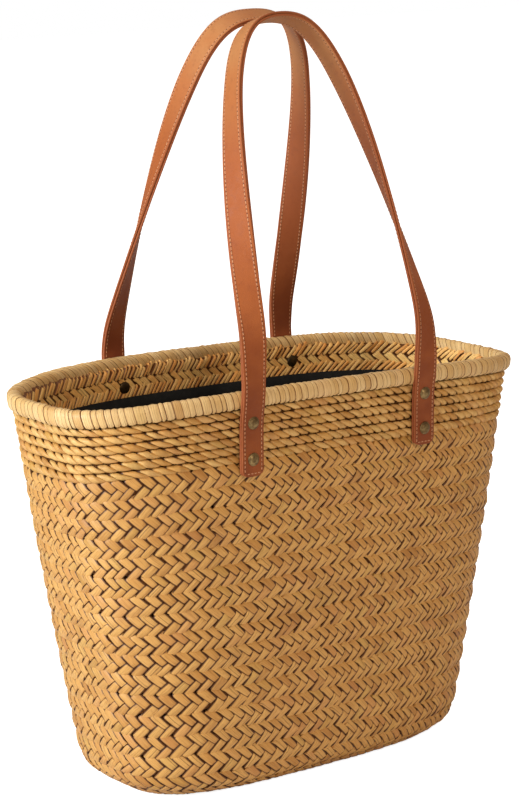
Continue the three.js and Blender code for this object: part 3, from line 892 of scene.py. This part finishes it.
def make_rim():
    blank = straw_blank(12, 2)
    course = Course(RIM_MIDDLE, 0, 0)
    widths = draw.uniform(*WRAP_WIDTHS, 500) * MM
    widths = widths[:int(np.searchsorted(np.cumsum(widths), course.length))]
    widths *= course.length / widths.sum()
    centres = np.cumsum(widths) - widths / 2
    count = len(widths)
    t, v, top = copies(places(blank), count)
    reach = draw.uniform(-WRAP_STRAY, WRAP_STRAY, (count, 2, 1))
    start = np.radians(WRAP_START + reach[:, 0])
    end = np.radians(WRAP_END + reach[:, 1])
    turn = start + (end - start) * (t + 1) / 2
    low_end = np.clip((np.abs(t) - 0.72) / 0.28, 0, 1)
    taper = 1 - (np.where(t < 0, 0.4, 0.08) + draw.uniform(0, 0.22, (count, 1))) * low_end ** 1.5
    half = widths[:, None] / 2
    inside = np.clip(turn - np.pi / 2, 0, None)
    lean = (np.pi / 2 - turn) / TURN * WRAP_LEAN - inside ** 2 * WRAP_CURL
    hook = -WRAP_HOOK * np.clip((t - 0.7) / 0.3, 0, 1) ** 2
    lap = draw.uniform(0.95, 1.12, (count, 1))
    along = centres[:, None] + lean + hook + v * half * taper * lap
    crown = (0.5 + draw.normal(0, 0.14, (count, 1))) * (1 - np.abs(v) ** 2.4)
    crown = crown + draw.normal(0, 0.1, (count, 1))
    sunk = np.where(top > 0.5, 0.28 * MM - crown * MM + 0.25 * MM * low_end, 1.5 * MM)
    own = draw.uniform(0, 1, (count, 1))
    weave = Weave("straw")
    weave.add(blank, on_rim(course.at(along), turn, sunk), straw=np.stack([t * 18 * MM, v, own + 0 * t], -1))
    piece("wound_rim", weave.mesh("wound_rim"), (RIM,), ["rim_wrap"])
    roll = ring_blank(192, 12, 0)
    bearing, around_roll = section_of(places(roll))
    settle(roll, on_rim(bearing, around_roll, 0.75 * MM), straw=np.zeros((len(bearing), 3)))
    piece("straw_rim_core", roll, (SEAMS,), ["rim_core"])


# Lining

LINING_TOP = RIM_HEIGHT - 31 * MM
LINING_DEPTH = 10.2 * MM
LINING_FLOOR = 6.4 * MM
CLOTH_THICKNESS = 0.7 * MM
FOLD_DEPTH = 1.4 * MM
FLOOR_STEPS = 14
WALL_STEPS = 30
ROUND_STEPS = 160


def make_lining():
    """A loose cloth bag: its floor lies on the base and its hem is sewn to the inside of the band"""
    total = FLOOR_STEPS + WALL_STEPS
    profile = [(i / total, 0) for i in range(total + 1)]
    mesh = mesh_from(turned_part(profile, ROUND_STEPS, 1e-5), "cloth_lining")
    flat = places(mesh)
    way = np.hypot(flat[:, 0], flat[:, 1])
    bearing = np.arctan2(flat[:, 1], flat[:, 0])
    floor = FLOOR_STEPS / total
    turn_radius = CORNER_RADIUS - LINING_DEPTH
    on_floor = np.clip(way / floor, 0, 1)
    up_wall = np.clip((way - floor) / (1 - floor), 0, 1)
    arc = turn_radius * math.pi / 2
    rise = up_wall * (arc + (LINING_TOP - CORNER_RADIUS))
    turn = np.clip(rise / turn_radius, 0, math.pi / 2)
    high = CORNER_RADIUS - (CORNER_RADIUS - LINING_FLOOR) * np.cos(turn) + np.maximum(rise - arc, 0)
    inset = np.where(up_wall > 0, -CORNER_RADIUS + turn_radius * np.sin(turn), -CORNER_RADIUS)
    ring = around(bearing, high, inset)
    folds = waves(bearing, {17: 1, 29: 0.7, 11: 0.5}, (3 * np.sin(9 * rise / 0.3), 14 * rise, -8 * rise))
    slack = np.clip(up_wall * 4, 0, 1) * (1 - up_wall) ** 0.6
    inward = 1 - (FOLD_DEPTH * slack * (folds + 2.2)) / 0.1
    ring[:, :2] *= inward[:, None]
    edge = around(bearing, np.full_like(bearing, LINING_FLOOR), np.full_like(bearing, -CORNER_RADIUS))
    ring = np.where((up_wall > 0)[:, None], ring, edge * on_floor[:, None])
    ring[:, 2] = np.where(up_wall > 0, ring[:, 2], LINING_FLOOR)
    crumple = 0.5 * MM * (np.sin(60 * ring[:, 0] + 9 * np.sin(50 * ring[:, 1])) + 1)
    ring[:, 2] += np.where(up_wall > 0, 0, crumple * on_floor * (1 - on_floor) * 4)
    settle(mesh, ring, cloth=np.stack([bearing * 0.14, way * 0.4, 0 * way], -1))
    obj = piece("cloth_lining", mesh, (COTTON,), ["lining"])
    solid = obj.modifiers.new("cloth thickness", "SOLIDIFY")
    solid.thickness = CLOTH_THICKNESS
    solid.offset = 0
    return obj


# Handles

STRAP_EDGE_X = HANDLE_X - STRAP_WIDTH / 2
TOP_HEIGHT = RIM_HEIGHT + HANDLE_HEIGHT
STRAP_STATIONS = 420
SECTION_SIDES = 16
STRAP_CORNER = 5 * MM
LAYER_GAP = 0.02 * MM
FRONT_SHOULDER = 3
BACK_SHOULDER = 3.6
ARCH_CROWN = 1.2
TWIST_TOP = 0.81
TWIST_POWER = 1.3
STITCH_HALF = 1.15 * MM
THREAD_HALF = 0.36 * MM


def strap_y(z, proud=0):
    """How far out the middle of a strap lies that rests on the wall"""
    return float(wall_y(STRAP_EDGE_X, z, proud)) + SEAT_GAP + STRAP_THICKNESS / 2


OVER_RIM_Y = strap_y(RIM_MIDDLE, RIM_PROUD)


def tab_path():
    """The strap's end as (depth, height), from its lower end up to the hinge"""
    seat_top = UPPER_RIVET + 6 * MM
    seat = [(strap_y(z), z) for z in np.linspace(STRAP_END, seat_top, 12)]
    halfway = (strap_y(seat_top) * 0.45 + OVER_RIM_Y * 0.55, (seat_top + RIM_MIDDLE) / 2)
    return np.array([*seat, halfway, (OVER_RIM_Y, RIM_MIDDLE), (OVER_RIM_Y, HINGE_HEIGHT)])


def lean_of(side):
    """Where a handle bends and how far it leans, so that the two handles meet over the bag"""
    bend = RIM_HEIGHT + (FRONT_BEND if side < 0 else BACK_BEND)
    rise = TOP_HEIGHT - bend
    guess = math.atan((OVER_RIM_Y - STRAP_WIDTH / 2) / rise)
    reach = STRAP_WIDTH / 2 * math.cos(guess) + STRAP_THICKNESS / 2 * math.sin(guess)
    lean = math.atan((OVER_RIM_Y - reach - 0.25 * MM) / rise)
    return bend, lean, bend - BEND_RADIUS * math.tan(lean / 2)


def side_view(z, bend, lean, arc_start):
    """Depth and lean of the loop's middle line at a height"""
    angle = np.arcsin(np.clip((z - arc_start) / BEND_RADIUS, 0, math.sin(lean)))
    y = OVER_RIM_Y - BEND_RADIUS * (1 - np.cos(angle))
    straight = z >= arc_start + BEND_RADIUS * math.sin(lean)
    return np.where(straight, OVER_RIM_Y - (z - bend) * math.tan(lean), y), np.where(straight, lean, angle)


def smoothed(values, width):
    """Running mean, twice, with the ends carried straight on"""
    steps = np.arange(1, width + 1)[:, None]
    mean = np.full(2 * width + 1, 1 / (2 * width + 1))
    for _ in range(2):
        before = values[0] + steps[::-1] * (values[0] - values[1])
        after = values[-1] + steps * (values[-1] - values[-2])
        padded = np.concatenate([before, values, after])
        values = np.stack([np.convolve(column, mean, "valid") for column in padded.T], -1)
    return values


def strap_line(side):
    """Middle line, width direction and outward normal of one whole strap, end to end"""
    bend, lean, arc_start = lean_of(side)
    shoulder = FRONT_SHOULDER if side < 0 else BACK_SHOULDER
    bottom = HINGE_HEIGHT + 0.2 * MM
    arch_start = max(arc_start, bottom + 1 * MM)
    quarter = np.linspace(0, math.pi / 2, 400)
    x = HANDLE_X * np.cos(quarter) ** (2 / shoulder)
    x[-1] = 0
    z = arch_start + (TOP_HEIGHT - arch_start) * np.sin(quarter) ** (2 / ARCH_CROWN)
    upright = np.linspace(bottom, arch_start, 20)[:-1]
    x = np.concatenate([np.full(len(upright), HANDLE_X), x])
    z = np.concatenate([upright, z])
    y, angle = side_view(z, bend, lean, arc_start)
    tab = tab_path()
    tab_run = np.gradient(tab, axis=0)
    tab_angle = -np.arctan2(tab_run[:, 0], tab_run[:, 1])
    tab_rows = np.stack([np.full(len(tab), HANDLE_X), *tab.T, tab_angle], -1)
    rows = np.concatenate([tab_rows, np.stack([x, y, z, angle], -1)])
    rows[:, 1] *= side
    mirror = rows[-2::-1].copy()
    mirror[:, 0] *= -1
    rows = np.concatenate([rows, mirror])
    steps = np.concatenate([[0], np.cumsum(np.linalg.norm(np.diff(rows[:, :3], axis=0), axis=1))])
    even = np.linspace(0, steps[-1], STRAP_STATIONS)
    rows = np.stack([np.interp(even, steps, column) for column in rows.T], -1)
    rows = smoothed(rows, 5)
    middle = rows[:, :3]
    angle = rows[:, 3]
    plane = np.stack([0 * angle, side * np.cos(angle), np.sin(angle)], -1)
    along = np.gradient(middle, axis=0)
    along -= plane * (along * plane).sum(-1, keepdims=True)
    along /= np.linalg.norm(along, axis=1, keepdims=True)
    outward = -side * np.cross(along, plane)
    twist_start = bottom + (arch_start - bottom) / 4
    twist_end = bend + (TOP_HEIGHT - bend) * TWIST_TOP
    progress = np.clip((middle[:, 2] - twist_start) / (twist_end - twist_start), 0, 1)
    turn = (math.pi / 2 * (1 - (1 - progress) ** TWIST_POWER))[:, None]
    normal = plane * np.cos(turn) + outward * np.sin(turn)
    across = np.cross(along, normal)
    return middle, across, normal, even


def strap_blank(stations, sides):
    """A closed bar with a ring of corners at each station"""
    bm = bmesh.new()
    bmesh.ops.create_cone(bm, cap_ends=True, cap_tris=False, segments=sides, radius1=1, radius2=1, depth=2)
    long_edges = [e for e in bm.edges if abs(e.verts[0].co.z - e.verts[1].co.z) > 1]
    bmesh.ops.subdivide_edges(bm, edges=long_edges, cuts=stations - 2, use_grid_fill=False)
    bmesh.ops.recalc_face_normals(bm, faces=bm.faces[:])
    for face in bm.faces:
        face.smooth = len(face.verts) < 5
    return mesh_from(bm, "strap_blank")


def make_strap_layer(name, line, near, far, finish, stands_for, side, blank):
    """One leather layer between two distances from the strap's middle"""
    middle, across, normal, even = line
    total = even[-1]
    mesh = blank.copy()
    local = places(mesh)
    station = np.round((local[:, 2] + 1) / 2 * (len(even) - 1)).astype(int)
    turn = np.arctan2(local[:, 1], local[:, 0])
    c, s = np.cos(turn + math.pi / SECTION_SIDES), np.sin(turn + math.pi / SECTION_SIDES)
    flat_x = np.sign(c) * np.abs(c) ** 0.16
    flat_y = np.sign(s) * np.abs(s) ** 0.42
    from_end = np.minimum(even, total - even)
    inwards = np.maximum(STRAP_CORNER - from_end, 0)
    narrowing = STRAP_CORNER - np.sqrt(np.maximum(STRAP_CORNER ** 2 - inwards ** 2, 0))
    half = (STRAP_WIDTH / 2 - narrowing)[station]
    wide = flat_x * half
    deep = (near + far) / 2 + flat_y * (far - near) / 2
    points = middle[station] + across[station] * wide[:, None] + normal[station] * deep[:, None]
    facing = 1 - np.clip((np.abs(wide) - (half - 0.5 * MM)) / (0.5 * MM), 0, 1)
    middle_stitch = round(total / 2 / STITCH_PITCH) * STITCH_PITCH
    settle(mesh, points, strap=np.stack([even[station] - middle_stitch, wide, facing], -1))
    piece(name, mesh, (finish,), stands_for, side)


def make_stitches(name, line, side):
    """Thread shown on both broad sides, in two rows that meet round each end of the strap"""
    middle, across, normal, even = line
    total = even[-1]
    marks = np.arange(STITCH_INSET + STITCH_PITCH / 2, total - STITCH_INSET, STITCH_PITCH)
    starts = [(mark, sign * STITCH_REACH, 0) for mark in marks for sign in (-1, 1)]
    first, last = -STITCH_REACH + STITCH_PITCH * 0.8, STITCH_REACH - STITCH_PITCH * 0.4
    cross_marks = np.arange(first, last, STITCH_PITCH)
    starts += [(end, mark, 1) for end in (STITCH_INSET, total - STITCH_INSET) for mark in cross_marks]
    starts = np.array(starts)
    count = len(starts)
    turned = starts[:, 2:3] > 0.5
    blank = straw_blank(3, 2)
    t, flat_v, top = copies(places(blank), count)
    weave = Weave("straw")
    for face in (1, -1):
        v = flat_v * face
        length = t * STITCH_HALF
        breadth = v * THREAD_HALF * (1 - 0.35 * t ** 2)
        x = starts[:, 0:1] + np.where(turned, breadth, length)
        y = starts[:, 1:2] + np.where(turned, length, breadth)
        proud = 0.26 * MM * (1 - 0.7 * v ** 2) - 0.2 * MM * t ** 4
        depth = STRAP_THICKNESS / 2 + np.where(top > 0.5, proud, -0.5 * MM)
        spot, aside, out = (
            np.stack([np.interp(x, even, column) for column in way.T], -1)
            for way in (middle, across, normal))
        points = spot + aside * y[..., None] + out * (face * depth)[..., None]
        weave.add(blank, points, straw=np.stack([length, v, 0.5 + 0 * t], -1))
    mesh = weave.mesh(name)
    fix = bmesh.new()
    fix.from_mesh(mesh)
    smooth_out(fix)
    fix.to_mesh(mesh)
    fix.free()
    piece(name, mesh, (THREAD,), (), side)


def make_handles():
    blank = strap_blank(STRAP_STATIONS, SECTION_SIDES)
    half = STRAP_THICKNESS / 2
    for word, side in (("front", -1), ("back", 1)):
        line = strap_line(side)
        nodes = [f"{word}_handle", f"{word}_left_tab", f"{word}_right_tab"]
        for layer, near, far, finish, slot, part in (
                ("outer", LAYER_GAP, half, TAN, "leather", "face"),
                ("inner", -half, -LAYER_GAP, RUSSET, "leather_backing", "backing")):
            stands_for = [f"{node}_{part}" for node in nodes]
            make_strap_layer(
                f"{word}_strap_{layer}", line, near, far, finish, stands_for, side, blank)
        make_stitches(f"{word}_strap_stitches", line, side)


# Rivets

# Radius and height of each stop, in millimetres
CAP_PROFILE = (
    (0, 2.75), (1.2, 2.72), (2.4, 2.5), (3.3, 2.05), (3.75, 1.55), (3.95, 1.25), (4.15, 1.2), (4.6, 1.05),
    (4.9, 0.7), (5, 0.35), (4.95, 0.05), (1.5, 0), (1.5, -3.6), (0, -3.6),
)
BACK_PROFILE = (
    (0, -1.7), (1.8, -1.65), (3.2, -1.45), (3.9, -1.15), (4.15, -1.1), (4.5, -0.95), (4.8, -0.5), (4.8, 1),
    (0, 1),
)
CAP_SEAT = 4.42 * MM
LOWER_BACK_SHIFT = 0.45
RIVET_STEPS = 32


def make_rivets():
    for side, wall in ((-1, "front"), (1, "back")):
        for end, hand in ((-1, "left"), (1, "right")):
            for z, level in ((UPPER_RIVET, "upper"), (LOWER_RIVET, "lower")):
                where = f"{wall}_{hand}_{level}"
                y = float(wall_y(STRAP_EDGE_X, z))
                lean = math.atan2(float(wall_y(STRAP_EDGE_X, z + MM)) - y, MM)
                back_shift = LOWER_BACK_SHIFT if level == "lower" else 0
                for kind, profile, offset, shift, finish in (
                        ("rivet", CAP_PROFILE, CAP_SEAT, 0, BRASS),
                        ("back_cap", BACK_PROFILE, -FACING_DEPTH, back_shift, DARK_BRASS)):
                    stops = [(radius * MM, (height + shift) * MM) for radius, height in profile]
                    bm = turned_part(stops, RIVET_STEPS, 1e-7)
                    face_out = Matrix.Rotation(-side * math.pi / 2 + side * lean, 4, "X")
                    spot = Matrix.Translation((end * HANDLE_X, side * (y + offset), z))
                    bmesh.ops.transform(bm, matrix=spot @ face_out, verts=bm.verts[:])
                    name = f"brass_{kind}_{where}"
                    piece(name, mesh_from(bm, name), (finish,), [f"{kind}_{where}"])


# Surroundings

BLACK = (0, 0, 0, 1)
WHITE = (1, 1, 1, 1)
WARM = (1, 0.86, 0.74, 1)
PALE_GREY = (0.93, 0.93, 0.93, 1)


def make_room():
    """A pale floor that the camera sees as white, and a soft warm light from all round"""
    bm = bmesh.new()
    bmesh.ops.create_grid(bm, x_segments=1, y_segments=1, size=6)
    floor = add_object("floor", mesh_from(bm, "floor"))
    paint = Finish("pale_floor")
    glow = paint.mix(paint.signal("ShaderNodeLightPath"), BLACK, WHITE)
    floor.data.materials.append(paint.surface(
        PALE_GREY, 0.9, Specular_IOR_Level=0, Emission_Color=glow, Emission_Strength=0.9))
    sky = Finish("studio", "worlds")
    bpy.context.scene.world = sky.owner
    rays = sky.node("ShaderNodeLightPath").outputs
    seen = Signal(sky, rays["Is Camera Ray"]).larger(Signal(sky, rays["Is Transmission Ray"]))
    sockets = {"Color": sky.mix(seen, WARM, WHITE), "Strength": seen.ramp(0, 1, 0.38, 1)}
    sky.node("ShaderNodeOutputWorld", {0: sky.signal("ShaderNodeBackground", sockets)})


def lamp(name, place, aim, width, power, colour=(1, 1, 1)):
    data = bpy.data.lights.new(name, "AREA")
    data.energy = power
    data.size = width
    data.color = colour
    obj = add_object(name, data)
    obj.rotation_euler = (Vector(aim) - Vector(place)).to_track_quat("-Z", "Y").to_euler()
    obj.location = place


def make_light():
    lamp("key", (-2.8, 0.15, 1.2), (0, 0, 0.2), 0.8, 82, (0.87, 1, 1.12))
    lamp("front", (-1.3, -2.7, 2), (0, 0, 0.2), 0.5, 30, (1, 0.92, 0.8))
    lamp("top", (0.2, 0.4, 2.6), (0, 0, 0.2), 1.2, 12)


def make_camera():
    """The photograph's camera, from the fitted bearing, elevation, distance and frame"""
    azimuth = math.radians(-37.571)
    elevation = math.radians(12.028)
    roll = -0.009
    distance = 2.1627
    target = (-0.00396, 0.00274, 0.28287)
    picture_height = 801
    focal_length = 2788.8
    shift = 1.5
    data = bpy.data.cameras.new("camera")
    data.sensor_width = 36
    data.lens = focal_length / picture_height * 36
    data.shift_x = -shift / picture_height
    data.clip_end = 50
    camera = add_object("camera", data)
    level = math.cos(elevation)
    back = (math.sin(azimuth) * level, -math.cos(azimuth) * level, math.sin(elevation))
    stand = Matrix.Translation([target[i] + distance * back[i] for i in range(3)])
    aim = Matrix.Rotation(azimuth, 4, "Z") @ Matrix.Rotation(math.pi / 2 - elevation, 4, "X")
    camera.matrix_world = stand @ aim @ Matrix.Rotation(roll, 4, "Z")
    bpy.context.scene.camera = camera


make_camera()
make_plait()
make_base()
make_ropes()
make_rim()
make_facing()
lining = make_lining()
make_handles()
make_rivets()
make_room()
make_light()
bpy.context.scene.view_settings.view_transform = "Standard"
